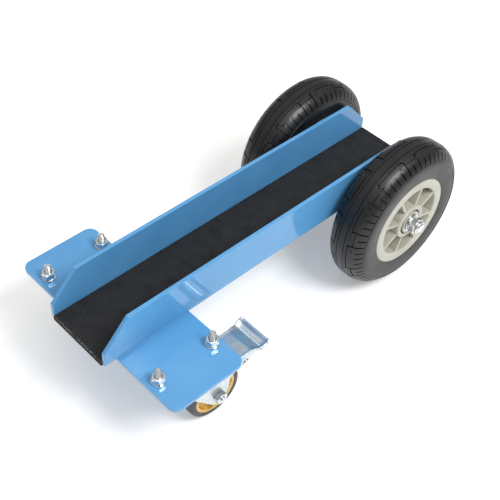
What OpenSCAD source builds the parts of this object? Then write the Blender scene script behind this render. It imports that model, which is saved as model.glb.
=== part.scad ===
// Panel dolly: a padded steel trough on two large wheels and two braked swivel castors.
// +X runs from the castor end to the wheel end, +Z is up, the floor is z = 0.
// The origin is on the floor, under the middle of the whole dolly.

/* [Trough] */
// Length of the steel channel
channel_length = 625; // [500:5:900]
// Clear width between the channel's walls
channel_inner_width = 106; // [80:1:150]
// Outside height of the channel's walls
wall_height = 70; // [50:1:100]
// Thickness of the channel's sheet
sheet = 6; // [4:0.5:8]
// Inside radius of the channel's bends
bend_inner_r = 1; // [0.5:0.5:3]
// Length of the corner cut off each wall end
chamfer_length = 42; // [20:1:60]
// Height of the corner cut off each wall end
chamfer_height = 44; // [20:1:60]

/* [Rubber mat] */
// Thickness of the mat under its ribs
mat_base = 1.5; // [1:0.1:3]
// Height of the ribs
rib_height = 1; // [0.5:0.1:2]
// Distance from rib to rib
rib_pitch = 3; // [2:0.1:6]
// Thickness of the lip turned down over the front edge
mat_lip = 2; // [1:0.1:4]
// Gap between the mat and each wall
mat_gap = 1; // [0.5:0.1:3]

/* [Castor plate] */
// Size of the plate across the dolly
plate_width = 336; // [300:1:420]
// How far the plate's middle lies to the left of the channel's middle, less than 0 for the right
plate_shift = -3.5; // [-4:0.5:4]
// Thickness of the plate
plate_t = 6; // [4:0.5:10]
// Corner radius of the plate
plate_corner_r = 14; // [5:1:25]
// Distance from the front bolts' centres to the plate's front edge
plate_front_margin = 16.5; // [12:0.5:40]
// Distance from the rear bolts' centres to the plate's rear edge
plate_rear_margin = 14.5; // [12:0.5:40]
// Leg of the weld beads
weld_leg = 5; // [3:0.5:6]

/* [Large wheels] */
// Outer radius of the tyres
tyre_r = 125; // [110:1:160]
// Width of the tyres
tyre_width = 68; // [60:1:84]
// Radius of the tyres' shoulders
shoulder_r = 28; // [15:1:29]
// Distance from the channel's front end to the axle
axle_from_front = 532; // [420:1:760]
// Gap between each tyre and the channel's wall
wheel_gap = 7.5; // [7:0.5:20]
// Outer radius of the rims' flanges
rim_r = 75.7; // [70:0.1:82]
// Width of the rims
rim_width = 65; // [58:1:80]
// Thickness of the spoke ribs
spoke_t = 4.5; // [3:0.5:7]
// Number of spoke ribs on a rim
spoke_count = 8; // [5:1:12]
// Angle of the first spoke rib
spoke_angle = 28; // [0:1:44]

/* [Axle] */
// Diameter of the axle
axle_d = 17; // [15:0.5:18]
// Diameter of the axle's threaded ends
axle_thread_d = 16; // [12:0.5:17]
// Outside diameter of the axle tube
axle_tube_d = 34; // [28:1:44]
// Size across flats of the lock nuts
lock_nut_af = 24; // [22:1:30]
// Outside diameter of the axle washers
axle_washer_d = 30; // [28:1:33]

/* [Wheel bearings] */
// Outside diameter of the ball bearings
bearing_d = 35; // [35:1:37]
// Width of the ball bearings
bearing_width = 10; // [8:1:14]
// Number of balls in a bearing
bearing_balls = 8; // [7:1:9]

/* [Castors] */
// Distance from the channel's front end to the castors' swivel axes
castor_from_front = 84.5; // [70:0.5:120]
// Distance of each castor's swivel axis from the middle plane
castor_y = 120; // [110:1:150]
// Distance between a castor's two bolts
bolt_spacing = 93; // [86:1:105]
// Radius of the castor wheels
castor_wheel_r = 45; // [38:1:50]
// Width of the castor wheels' treads
castor_wheel_width = 26; // [22:1:28]
// Thickness of the castor wheels' treads
tread_t = 9; // [5:0.5:12]
// Distance from the swivel axis back to the wheel axle
castor_trail = 44.7; // [38:0.1:52]
// Clear width between the fork's legs
fork_gap = 32; // [30:1:38]
// Thickness of the fork's sheet
fork_t = 3; // [2:0.5:4]
// Heading of the left castor, which stands turned a little inwards
left_heading = -15; // [-180:1:180]

/* [Brake] */
// Distance from the tread to the pedal's pivot
pivot_reach = 16.3; // [14:0.1:24]
// Direction of the pivot from the castor wheel's centre
pivot_angle = 39.5; // [36:0.5:46]
// Gap between the brake shoe and the tread when the brake is off
shoe_gap = 4; // [3.5:0.1:5]
// Thickness of the pedal's sheet
pedal_t = 2.5; // [1.5:0.1:3]

/* [Hidden] */
$fn = 96;

right = -1;
left = 1;
eps = 0.01;
cut = 1;                      // how far a cutting tool runs past the face it cuts
running_fit = 0.05;           // radial clearance of a pin or shaft that turns
ball_play = 0.1;              // gap between a ball and its races
side_play = 0.3;              // gap between parts that move past each other

// Heights and places of the frame
axle_z = tyre_r;
underside_z = axle_z + axle_tube_d / 2;
floor_z = underside_z + sheet;
mat_z = floor_z + mat_base + rib_height;
wall_top_z = underside_z + wall_height;
outer_half = channel_inner_width / 2 + sheet;
bend_outer_r = bend_inner_r + sheet;
overall_length = mat_lip + max(axle_from_front + tyre_r, channel_length);
front_x = mat_lip - overall_length / 2;
axle_x = front_x + axle_from_front;
plate_bottom_z = underside_z - plate_t;
castor_x = front_x + castor_from_front;
plate_length = plate_front_margin + bolt_spacing + plate_rear_margin;
plate_front_x = castor_x - bolt_spacing / 2 - plate_front_margin;

// Large wheels, measured outwards from the tyre's middle plane
wheel_y = outer_half + wheel_gap + tyre_width / 2;
rim_half = rim_width / 2;
rim_barrel_r = 70;
rim_face_r = 60;
flange_t = 4;
web_t = 6;
hub_r = 29;
hub_proud = 1.5;
hub_tube_proud = 4;
hub_tube_wall = 1.8;
hub_groove = 2.7;
hub_groove_depth = 8;
bearing_recess = 1;
bearing_out = rim_half + hub_tube_proud - bearing_recess;
bearing_in = bearing_out - bearing_width;
bearing_shoulder = 3.5;       // step that the outer race sits against
hub_bore_r = bearing_d / 2 - bearing_shoulder;
spoke_inset = 1;              // how far the spokes' edges lie below the flanges
race_t = 3;
inner_race_r = axle_d / 2 + race_t;
outer_race_r = bearing_d / 2 - race_t;
bearing_pitch_r = (inner_race_r + outer_race_r) / 2;
bearing_ball_r = 2.4;
shield_t = 0.5;
shield_inset = 0.5;
axle_washer_t = 3;
lock_nut_hex = 11;
lock_nut_collar = 5;
collar_inset = 1;             // the collar's radius is this much less than the flats'
axle_end_proud = 1;
axle_end_y = wheel_y + bearing_out + axle_washer_t + lock_nut_hex + lock_nut_collar + axle_end_proud;
sleeve_wall = 3;

// Castor bolts (M10)
bolt_r = 5;
bolt_head_t = 6.4;
bolt_af = 17;
nut_t = 8;
washer_r = 10;
washer_t = 2;
spring_washer_r = 8.6;
spring_washer_t = 2.5;
spring_washer_slot = 2;
bolt_length = 35;
bolt_tip = 1;                 // chamfer at the bolt's end
bolt_clearance = 0.5;
bolt_x = [castor_x - bolt_spacing / 2, castor_x + bolt_spacing / 2];

// Castor, in its own frame: swivel axis at x = 0, wheel trailing towards +X
top_plate_t = 4;
top_plate_end = 13;
top_plate_width = 60;
race_ring_t = 6;
upper_pitch_r = 20;
upper_ball_r = 3;
upper_ball_count = 16;
race_gap = 1;
race_ring_r = 26;
race_ring_hole = 12;
fork_race_t = 4;
kingpin_r = 8;
kingpin_head_r = 13;
kingpin_head_t = 4;
lower_pitch_r = 10.5;
lower_ball_r = 1.9;
lower_ball_count = 14;
upper_ball_z = plate_bottom_z - top_plate_t - race_ring_t - race_gap / 2;
fork_race_z = upper_ball_z - race_gap / 2;
crown_z = fork_race_z - fork_race_t;
kingpin_head_z = crown_z - fork_t - 2 * (lower_ball_r + ball_play);
fork_half = fork_gap / 2 + fork_t;
fork_bend_r = fork_t + 2;
crown_front = 26;
crown_back = 50;
leg_front_drop = 11;          // depth of the leg's straight front end
leg_waist_x = -4;             // where the leg's front edge turns, and how high
leg_waist = 0.45;             // as a share of the way from the axle up to the crown
boss_r = 15;
boss_shoulder = 3;            // how far the leg is wider than its boss
leg_back = 4;                 // how far the leg reaches behind the boss
ear_r = 8;
castor_axle_r = 5;
bush_r = 7.4;
hub_boss_r = 12;
hub_rim_t = 5;
hub_web_t = 7;
castor_nut_t = 8;
castor_head_t = 6.4;
castor_nut_af = 17;
castor_bolt_end = 3;

// Brake pedal, measured from its pivot
pin_r = 3;
pin_head_r = 5;
pin_head_t = 2;
pivot = [
    castor_trail + (castor_wheel_r + pivot_reach) * cos(pivot_angle),
    castor_wheel_r + (castor_wheel_r + pivot_reach) * sin(pivot_angle),
];
pedal_half = fork_half + side_play + pedal_t;
pedal_clearance = 2;          // how far the fork's leg stays below the pedal's web
web_front = -30;
web_back = 12.5;
web_top = 23.5;
cheek_front = 8.5;            // depth of the cheek at the web's front end
web_spread = 3.2;             // how far the web reaches past the cheeks, each side
toe_spread = 8;               // how far the toe reaches past the cheeks, each side
scoop_x = 24;
scoop_z = 35;
scoop_r = 16.5;
scoop_half_length = 13;
tongue_x = pin_r + 1;
tongue_t = 3;
tongue_half = 9;
shoe_half = 11;
shoe_length = 28;
shoe_top = -10;
shoe_bottom = -22;

// ---------- shapes used by several parts ----------

// Rectangle with round corners, centred
module rounded_rect(length, width, r) {
    square([length - 2 * r, width], center = true);
    square([length, width - 2 * r], center = true);
    for (sx = [-1, 1]) for (sy = [-1, 1])
        translate([sx * (length / 2 - r), sy * (width / 2 - r)]) circle(r);
}

// Extrudes a Y-Z outline along X, from x0 for the given length
module along_x(x0, length) {
    translate([x0, 0, 0]) rotate([90, 0, 90]) linear_extrude(length) children();
}

// Extrudes an X-Z outline to both sides of the middle plane
module across_y(width) {
    rotate([90, 0, 0]) linear_extrude(width, center = true) children();
}

module ring(outer_r, inner_r, height) {
    difference() {
        cylinder(r = outer_r, h = height);
        translate([0, 0, -cut]) cylinder(r = inner_r, h = height + 2 * cut);
    }
}

module hexagon_prism(across_flats, height) {
    cylinder(d = across_flats / cos(30), h = height, $fn = 6);
}

module hex_nut(across_flats, bore_r, height) {
    difference() {
        hexagon_prism(across_flats, height);
        translate([0, 0, -cut]) cylinder(r = bore_r, h = height + 2 * cut);
    }
}

module ball_ring(count, pitch_r, ball_r) {
    for (i = [0 : count - 1])
        rotate([0, 0, i * 360 / count]) translate([pitch_r, 0, 0]) sphere(ball_r);
}

// Places a large wheel's part: its local +Z points outwards from the dolly
module at_wheel(side) {
    translate([axle_x, side * wheel_y, axle_z]) rotate([-side * 90, 0, 0]) children();
}

module both_ends(z) {
    for (s = [0, 1]) mirror([0, 0, s]) translate([0, 0, z]) children();
}

module at_castor(side) {
    translate([castor_x, side * castor_y, 0])
        rotate([0, 0, side == left ? left_heading : 0]) children();
}

module at_castor_bolts() {
    for (side = [right, left]) for (x = bolt_x) translate([x, side * castor_y, 0]) children();
}

// ---------- frame ----------

module channel_outline() {
    difference() {
        union() {
            translate([-outer_half, underside_z + bend_outer_r])
                square([2 * outer_half, wall_height - bend_outer_r]);
            translate([-outer_half + bend_outer_r, underside_z])
                square([2 * (outer_half - bend_outer_r), bend_outer_r + cut]);
            for (s = [-1, 1]) translate([s * (outer_half - bend_outer_r), underside_z + bend_outer_r])
                circle(bend_outer_r);
        }
        translate([-channel_inner_width / 2, floor_z + bend_inner_r])
            square([channel_inner_width, wall_height]);
        translate([-channel_inner_width / 2 + bend_inner_r, floor_z])
            square([channel_inner_width - 2 * bend_inner_r, wall_height]);
        for (s = [-1, 1])
            translate([s * (channel_inner_width / 2 - bend_inner_r), floor_z + bend_inner_r])
                circle(bend_inner_r);
    }
}

// One triangular prism cut off the top corner of both walls at one end
module corner_cut(end_x, direction) {
    across_y(2 * outer_half + 2 * cut) polygon([
        [end_x - direction * cut, wall_top_z - chamfer_height - cut * chamfer_height / chamfer_length],
        [end_x - direction * cut, wall_top_z + cut],
        [end_x + direction * (chamfer_length + cut * chamfer_length / chamfer_height), wall_top_z + cut],
    ]);
}

module channel() {
    color("#5b9bd5") difference() {
        along_x(front_x, channel_length) channel_outline();
        corner_cut(front_x, 1);
        corner_cut(front_x + channel_length, -1);
    }
}

module castor_plate() {
    color("#5b9bd5") difference() {
        translate([plate_front_x + plate_length / 2, plate_shift, plate_bottom_z])
            linear_extrude(plate_t) rounded_rect(plate_length, plate_width, plate_corner_r);
        at_castor_bolts() translate([0, 0, plate_bottom_z - cut])
            cylinder(r = bolt_r + bolt_clearance, h = plate_t + 2 * cut);
    }
}

// Fillet welds: channel to castor plate, and axle tube to channel
module weld_beads() {
    bead_margin = 3;
    tube_bead = axle_tube_d / 2 - weld_leg;
    tube_bead_length = 30;
    color("#5b9bd5") {
        along_x(plate_front_x + bead_margin, plate_length - 2 * bead_margin)
            for (s = [-1, 1]) difference() {
                translate([s * (outer_half - weld_leg / 2), underside_z + weld_leg / 2])
                    square(weld_leg, center = true);
                translate([s * (outer_half - bend_outer_r), underside_z + bend_outer_r])
                    circle(bend_outer_r);
            }
        for (s = [-1, 1]) translate([0, s * (outer_half - bend_outer_r - tube_bead_length / 2), 0])
            across_y(tube_bead_length) for (e = [-1, 1]) difference() {
                translate([axle_x + e * tube_bead / 2, underside_z - weld_leg / 2])
                    square([tube_bead, weld_leg], center = true);
                translate([axle_x, axle_z]) circle(axle_tube_d / 2);
            }
    }
}

// Ribbed sheet glued to the channel's floor, with a lip over the front edge
module rubber_mat() {
    rib_top = rib_pitch * 0.4;
    rib_side = rib_pitch * 0.1;
    rib_count = floor(channel_length / rib_pitch);
    base_top = floor_z + mat_base;
    mat_half = channel_inner_width / 2 - mat_gap;
    color("#2a2b2d") across_y(2 * mat_half) polygon(concat(
        [
            [front_x + channel_length, floor_z],
            [front_x, floor_z],
            [front_x, underside_z],
            [front_x - mat_lip, underside_z],
            [front_x - mat_lip, base_top],
        ],
        [for (i = [0 : rib_count - 1]) let (x = front_x + (i + 0.2) * rib_pitch) each [
            [x, base_top],
            [x + rib_side, mat_z],
            [x + rib_side + rib_top, mat_z],
            [x + 2 * rib_side + rib_top, base_top],
        ]],
        [[front_x + channel_length, base_top]]
    ));
}

module axle_tube() {
    color("#5b9bd5") translate([axle_x, outer_half, axle_z]) rotate([90, 0, 0])
        ring(axle_tube_d / 2, axle_d / 2 + running_fit, 2 * outer_half);
}

module axle() {
    journal = wheel_y + bearing_out;
    tip_chamfer = 1;
    tip = axle_end_y - journal - tip_chamfer;
    color("#b9bdc2") translate([axle_x, 0, axle_z]) rotate([90, 0, 0]) {
        cylinder(d = axle_d, h = 2 * journal, center = true);
        both_ends(journal) {
            cylinder(d = axle_thread_d, h = tip);
            translate([0, 0, tip])
                cylinder(d1 = axle_thread_d, d2 = axle_thread_d - 2 * tip_chamfer, h = tip_chamfer);
        }
    }
}

// ---------- castor fasteners ----------

module plate_bolts() {
    color("#c3c8cc") at_castor_bolts() translate([0, 0, plate_bottom_z - top_plate_t]) {
        translate([0, 0, -bolt_head_t]) hexagon_prism(bolt_af, bolt_head_t);
        cylinder(r = bolt_r, h = bolt_length - bolt_tip);
        translate([0, 0, bolt_length - bolt_tip])
            cylinder(r1 = bolt_r, r2 = bolt_r - bolt_tip, h = bolt_tip);
    }
}

module plate_washers() {
    color("#c3c8cc") at_castor_bolts() translate([0, 0, underside_z])
        ring(washer_r, bolt_r + bolt_clearance, washer_t);
}

module plate_spring_washers() {
    color("#c3c8cc") at_castor_bolts() translate([0, 0, underside_z + washer_t]) difference() {
        ring(spring_washer_r, bolt_r + bolt_clearance / 2, spring_washer_t);
        translate([0, -spring_washer_slot / 2, -cut])
            cube([spring_washer_r + cut, spring_washer_slot, spring_washer_t + 2 * cut]);
    }
}

module plate_nuts() {
    color("#c3c8cc") at_castor_bolts()
        translate([0, 0, underside_z + washer_t + spring_washer_t]) hex_nut(bolt_af, bolt_r, nut_t);
}

// ---------- large wheels ----------

module tyre(side) {
    bead_gap = flange_t;
    crown_half = tyre_width / 2 - shoulder_r;
    color("#2c2d30") at_wheel(side) rotate_extrude() {
        translate([rim_barrel_r, -rim_half + bead_gap])
            square([rim_r - rim_barrel_r, rim_width - 2 * bead_gap]);
        translate([rim_r, -tyre_width / 2]) square([tyre_r - shoulder_r - rim_r, tyre_width]);
        translate([tyre_r - shoulder_r, -crown_half]) square([shoulder_r, 2 * crown_half]);
        intersection() {
            union() for (s = [-1, 1]) translate([tyre_r - shoulder_r, s * crown_half]) circle(shoulder_r);
            translate([tyre_r - shoulder_r, -tyre_width / 2]) square([shoulder_r, tyre_width]);
        }
    }
}

module rim(side) {
    tube_r = bearing_d / 2 + hub_tube_wall;
    color("#cfd0c6") at_wheel(side) {
        rotate_extrude() difference() {
            union() {
                translate([rim_face_r, -rim_half]) square([rim_barrel_r - rim_face_r, rim_width]);
                for (s = [-1, 1]) translate([rim_face_r, s * (rim_half - flange_t / 2) - flange_t / 2])
                    square([rim_r - rim_face_r, flange_t]);
                translate([hub_r - cut, -web_t / 2]) square([rim_face_r - hub_r + 2 * cut, web_t]);
                translate([hub_bore_r, -rim_half - hub_proud])
                    square([hub_r - hub_bore_r, rim_width + 2 * hub_proud]);
                translate([hub_bore_r, -rim_half - hub_tube_proud])
                    square([tube_r - hub_bore_r, rim_width + 2 * hub_tube_proud]);
            }
            for (s = [0, 1]) mirror([0, s]) {
                translate([hub_bore_r - cut, bearing_in])
                    square([bearing_d / 2 - hub_bore_r + cut, bearing_width + hub_tube_proud + cut]);
                translate([tube_r, rim_half + hub_proud - hub_groove_depth])
                    square([hub_groove, hub_groove_depth + hub_tube_proud]);
            }
        }
        for (i = [0 : spoke_count - 1]) rotate([0, 0, spoke_angle + i * 360 / spoke_count])
            translate([hub_r - cut, -spoke_t / 2, -rim_half + spoke_inset])
                cube([rim_face_r - hub_r + 2 * cut, spoke_t, rim_width - 2 * spoke_inset]);
    }
}

module race_groove() {
    translate([bearing_pitch_r, bearing_width / 2]) circle(bearing_ball_r + ball_play);
}

module outer_races(side) {
    color("#c9ccd0") at_wheel(side) both_ends(bearing_in) rotate_extrude() difference() {
        translate([outer_race_r, 0]) square([race_t, bearing_width]);
        race_groove();
    }
}

module inner_races(side) {
    color("#c9ccd0") at_wheel(side) both_ends(bearing_in) rotate_extrude() difference() {
        translate([axle_d / 2, 0]) square([race_t, bearing_width]);
        race_groove();
    }
}

module bearing_ball_rings(side) {
    color("#d9dbde") at_wheel(side) both_ends(bearing_in + bearing_width / 2)
        ball_ring(bearing_balls, bearing_pitch_r, bearing_ball_r);
}

module bearing_shields(side) {
    color("#8d9095") at_wheel(side) both_ends(bearing_in)
        for (z = [shield_inset, bearing_width - shield_inset - shield_t]) translate([0, 0, z])
            ring(outer_race_r, inner_race_r + side_play, shield_t);
}

module bearing_sleeve(side) {
    color("#a9adb2") at_wheel(side) translate([0, 0, -bearing_in])
        ring(axle_d / 2 + sleeve_wall, axle_d / 2, 2 * bearing_in);
}

module wheel_spacer(side) {
    spacer_length = wheel_y - bearing_out - outer_half;
    color("#a9adb2") at_wheel(side) translate([0, 0, -bearing_out - spacer_length])
        ring(axle_d / 2 + sleeve_wall, axle_d / 2, spacer_length);
}

module axle_washer(side) {
    color("#c3c8cc") at_wheel(side) translate([0, 0, bearing_out])
        ring(axle_washer_d / 2, axle_thread_d / 2 + bolt_clearance, axle_washer_t);
}

// Lock nut: a hexagon with a round collar that holds the locking ring
module lock_nut(side) {
    color("#c3c8cc") at_wheel(side) translate([0, 0, bearing_out + axle_washer_t]) {
        hex_nut(lock_nut_af, axle_thread_d / 2, lock_nut_hex);
        translate([0, 0, lock_nut_hex])
            ring(lock_nut_af / 2 - collar_inset, axle_thread_d / 2, lock_nut_collar);
    }
}

// ---------- castors ----------

// Bolted plate with two holes and, below it, the upper ball race
module top_plate(side) {
    color("#b7c0c4") translate([castor_x, side * castor_y, 0]) difference() {
        union() {
            translate([0, 0, plate_bottom_z - top_plate_t]) linear_extrude(top_plate_t)
                rounded_rect(bolt_spacing + 2 * top_plate_end, top_plate_width, top_plate_end);
            translate([0, 0, plate_bottom_z - top_plate_t - race_ring_t])
                ring(race_ring_r, race_ring_hole, race_ring_t);
        }
        for (s = [-1, 1]) translate([s * bolt_spacing / 2, 0, plate_bottom_z - top_plate_t - cut])
            cylinder(r = bolt_r + bolt_clearance / 2, h = top_plate_t + 2 * cut);
        translate([0, 0, plate_bottom_z - top_plate_t - cut])
            cylinder(r = kingpin_r, h = top_plate_t + 2 * cut);
        translate([0, 0, upper_ball_z]) rotate_extrude()
            translate([upper_pitch_r, 0]) circle(upper_ball_r + ball_play);
    }
}

// Rivet that holds the fork up; its head carries the lower balls
module kingpin(side) {
    color("#b7c0c4") at_castor(side) {
        translate([0, 0, kingpin_head_z]) cylinder(r = kingpin_r, h = plate_bottom_z - kingpin_head_z);
        translate([0, 0, kingpin_head_z - kingpin_head_t]) cylinder(r = kingpin_head_r, h = kingpin_head_t);
    }
}

module upper_balls(side) {
    color("#d9dbde") at_castor(side) translate([0, 0, upper_ball_z])
        ball_ring(upper_ball_count, upper_pitch_r, upper_ball_r);
}

module lower_balls(side) {
    color("#d9dbde") at_castor(side) translate([0, 0, kingpin_head_z + lower_ball_r + ball_play])
        ball_ring(lower_ball_count, lower_pitch_r, lower_ball_r);
}

// Side view of a fork leg: it passes under the pedal's web and carries the pivot's ear
module fork_outline() {
    polygon([
        [-crown_front, crown_z],
        [crown_back, crown_z],
        [pivot.x + web_front - side_play, pivot.y + web_top - pedal_t - pedal_clearance],
        [pivot.x - ear_r / 2, pivot.y + ear_r - pedal_clearance],
        [pivot.x, pivot.y - ear_r],
        [castor_trail + boss_r + leg_back, pivot.y - ear_r - boss_shoulder],
        [castor_trail + boss_r + leg_back, castor_wheel_r],
        [castor_trail, castor_wheel_r - boss_r],
        [castor_trail - boss_r - boss_shoulder, castor_wheel_r - boss_shoulder],
        [leg_waist_x, castor_wheel_r + leg_waist * (crown_z - castor_wheel_r)],
        [-crown_front, crown_z - leg_front_drop],
    ]);
    translate([castor_trail, castor_wheel_r]) circle(boss_r);
    translate(pivot) circle(ear_r);
}

// Bent U of sheet steel with the swivel race on its crown
module fork(side) {
    leg_length = crown_z - castor_wheel_r + boss_r + cut;
    color("#b7c0c4") at_castor(side) difference() {
        union() {
            intersection() {
                along_x(-crown_front - cut, pivot.x + ear_r + crown_front + 2 * cut) difference() {
                    union() {
                        translate([-fork_half, crown_z - leg_length])
                            square([2 * fork_half, leg_length - fork_bend_r]);
                        translate([-fork_half + fork_bend_r, crown_z - leg_length])
                            square([2 * (fork_half - fork_bend_r), leg_length]);
                        for (s = [-1, 1])
                            translate([s * (fork_half - fork_bend_r), crown_z - fork_bend_r])
                                circle(fork_bend_r);
                    }
                    translate([-fork_gap / 2, crown_z - leg_length - cut])
                        square([fork_gap, leg_length - fork_bend_r + cut]);
                    translate([-fork_half + fork_bend_r, crown_z - leg_length - cut])
                        square([2 * (fork_half - fork_bend_r), leg_length - fork_t + cut]);
                    for (s = [-1, 1])
                        translate([s * (fork_half - fork_bend_r), crown_z - fork_bend_r])
                            circle(fork_bend_r - fork_t);
                }
                across_y(2 * fork_half + 2 * cut) fork_outline();
            }
            translate([0, 0, crown_z]) cylinder(r = race_ring_r, h = fork_race_t);
        }
        translate([0, 0, crown_z - fork_t - cut])
            cylinder(r = kingpin_r + running_fit, h = fork_t + fork_race_t + 2 * cut);
        translate([0, 0, upper_ball_z]) rotate_extrude()
            translate([upper_pitch_r, 0]) circle(upper_ball_r + ball_play);
        translate([castor_trail, 0, castor_wheel_r]) rotate([90, 0, 0])
            cylinder(r = castor_axle_r, h = 2 * fork_half + 2 * cut, center = true);
        translate([pivot.x, 0, pivot.y]) rotate([90, 0, 0])
            cylinder(r = pin_r, h = 2 * fork_half + 2 * cut, center = true);
    }
}

// Places a castor wheel's part: its local +Z lies along the wheel's axle
module at_castor_axle(side) {
    at_castor(side) translate([castor_trail, 0, castor_wheel_r]) rotate([90, 0, 0]) children();
}

module tread(side) {
    edge_r = 5;
    inner_r = castor_wheel_r - tread_t;
    half = castor_wheel_width / 2;
    color("#55575a") at_castor_axle(side) rotate_extrude() {
        translate([inner_r, -half]) square([tread_t - edge_r, castor_wheel_width]);
        translate([inner_r, -half + edge_r]) square([tread_t, castor_wheel_width - 2 * edge_r]);
        intersection() {
            for (s = [-1, 1]) translate([castor_wheel_r - edge_r, s * (half - edge_r)]) circle(edge_r);
            translate([inner_r, -half]) square([tread_t, castor_wheel_width]);
        }
    }
}

// Cast hub: rim, web and boss, running on the bush
module hub(side) {
    rim_outer = castor_wheel_r - tread_t;
    rim_half_width = castor_wheel_width / 2 - 1;
    boss_half = fork_gap / 2 - side_play;
    color("#d9b25a") at_castor_axle(side) rotate_extrude() {
        translate([rim_outer - hub_rim_t, -rim_half_width]) square([hub_rim_t, 2 * rim_half_width]);
        translate([bush_r + running_fit, -hub_web_t / 2])
            square([rim_outer - bush_r - running_fit, hub_web_t]);
        translate([bush_r + running_fit, -boss_half])
            square([hub_boss_r - bush_r - running_fit, 2 * boss_half]);
    }
}

module hub_bush(side) {
    color("#a9adb2") at_castor_axle(side) translate([0, 0, -fork_gap / 2])
        ring(bush_r, castor_axle_r, fork_gap);
}

module castor_bolt(side) {
    shank = 2 * fork_half + castor_nut_t + castor_bolt_end;
    color("#c3c8cc") at_castor_axle(side) {
        translate([0, 0, -fork_half - castor_head_t]) hexagon_prism(castor_nut_af, castor_head_t);
        translate([0, 0, -fork_half]) cylinder(r = castor_axle_r, h = shank);
    }
}

module castor_nut(side) {
    color("#c3c8cc") at_castor_axle(side) translate([0, 0, fork_half])
        hex_nut(castor_nut_af, castor_axle_r, castor_nut_t);
}

module at_pivot(side) {
    at_castor(side) translate([pivot.x, 0, pivot.y]) children();
}

// Stamped pedal: a web with side cheeks, a dished toe end and a tongue for the shoe
module pedal(side) {
    cheek = pedal_half - pedal_t / 2;
    web_bottom = web_top - pedal_t;
    color("#b7c0c4") at_pivot(side) difference() {
        union() {
            across_y(2 * (pedal_half + web_spread))
                translate([web_front, web_bottom]) square([web_back - web_front, pedal_t]);
            across_y(2 * (pedal_half + toe_spread)) translate([scoop_x, scoop_z]) intersection() {
                difference() {
                    circle(scoop_r + pedal_t);
                    circle(scoop_r);
                }
                translate([-scoop_half_length, -scoop_r - pedal_t - cut])
                    square([2 * scoop_half_length, scoop_r]);
            }
            for (s = [-1, 1]) translate([0, s * cheek, 0]) across_y(pedal_t) {
                polygon([
                    [web_front, web_bottom + eps],
                    [web_front, web_top - cheek_front],
                    [-ear_r, 0],
                    [0, -ear_r],
                    [ear_r, 0],
                    [scoop_x - pedal_t, scoop_z - scoop_r - pedal_t / 2],
                    [web_back - pedal_t, web_bottom + eps],
                ]);
                circle(ear_r);
            }
            across_y(2 * tongue_half) translate([tongue_x, shoe_bottom - tongue_t])
                square([tongue_t, web_bottom - shoe_bottom + tongue_t + eps]);
        }
        rotate([90, 0, 0]) cylinder(r = pin_r + running_fit, h = 2 * pedal_half + 2 * cut, center = true);
    }
}

module pedal_pin(side) {
    head = pedal_half + side_play;
    color("#c3c8cc") at_pivot(side) rotate([90, 0, 0]) {
        cylinder(r = pin_r, h = 2 * head, center = true);
        both_ends(head) cylinder(r = pin_head_r, h = pin_head_t);
    }
}

module brake_shoe(side) {
    wheel_centre = [castor_trail, castor_wheel_r] - pivot;
    color("#3a3b3d") at_pivot(side) across_y(2 * shoe_half) difference() {
        translate([tongue_x - shoe_length, shoe_bottom]) square([shoe_length, shoe_top - shoe_bottom]);
        translate(wheel_centre) circle(castor_wheel_r + shoe_gap);
    }
}

channel();
castor_plate();
weld_beads();
rubber_mat();
axle_tube();
axle();
plate_bolts();
plate_washers();
plate_spring_washers();
plate_nuts();
tyre(right);  // right_tyre
rim(right);  // right_rim
outer_races(right);  // right_outer_races
inner_races(right);  // right_inner_races
bearing_ball_rings(right);  // right_bearing_balls
bearing_shields(right);  // right_bearing_shields
bearing_sleeve(right);  // right_bearing_sleeve
wheel_spacer(right);  // right_wheel_spacer
axle_washer(right);  // right_axle_washer
lock_nut(right);  // right_lock_nut
tyre(left);  // left_tyre
rim(left);  // left_rim
outer_races(left);  // left_outer_races
inner_races(left);  // left_inner_races
bearing_ball_rings(left);  // left_bearing_balls
bearing_shields(left);  // left_bearing_shields
bearing_sleeve(left);  // left_bearing_sleeve
wheel_spacer(left);  // left_wheel_spacer
axle_washer(left);  // left_axle_washer
lock_nut(left);  // left_lock_nut
top_plate(right);  // right_top_plate
kingpin(right);  // right_kingpin
upper_balls(right);  // right_upper_balls
lower_balls(right);  // right_lower_balls
fork(right);  // right_fork
tread(right);  // right_tread
hub(right);  // right_hub
hub_bush(right);  // right_hub_bush
castor_bolt(right);  // right_castor_bolt
castor_nut(right);  // right_castor_nut
pedal(right);  // right_pedal
pedal_pin(right);  // right_pedal_pin
brake_shoe(right);  // right_brake_shoe
top_plate(left);  // left_top_plate
kingpin(left);  // left_kingpin
upper_balls(left);  // left_upper_balls
lower_balls(left);  // left_lower_balls
fork(left);  // left_fork
tread(left);  // left_tread
hub(left);  // left_hub
hub_bush(left);  // left_hub_bush
castor_bolt(left);  // left_castor_bolt
castor_nut(left);  // left_castor_nut
pedal(left);  // left_pedal
pedal_pin(left);  // left_pedal_pin
brake_shoe(left);  // left_brake_shoe
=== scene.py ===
import math

import bmesh
import bpy
from mathutils import Matrix, Vector


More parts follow.
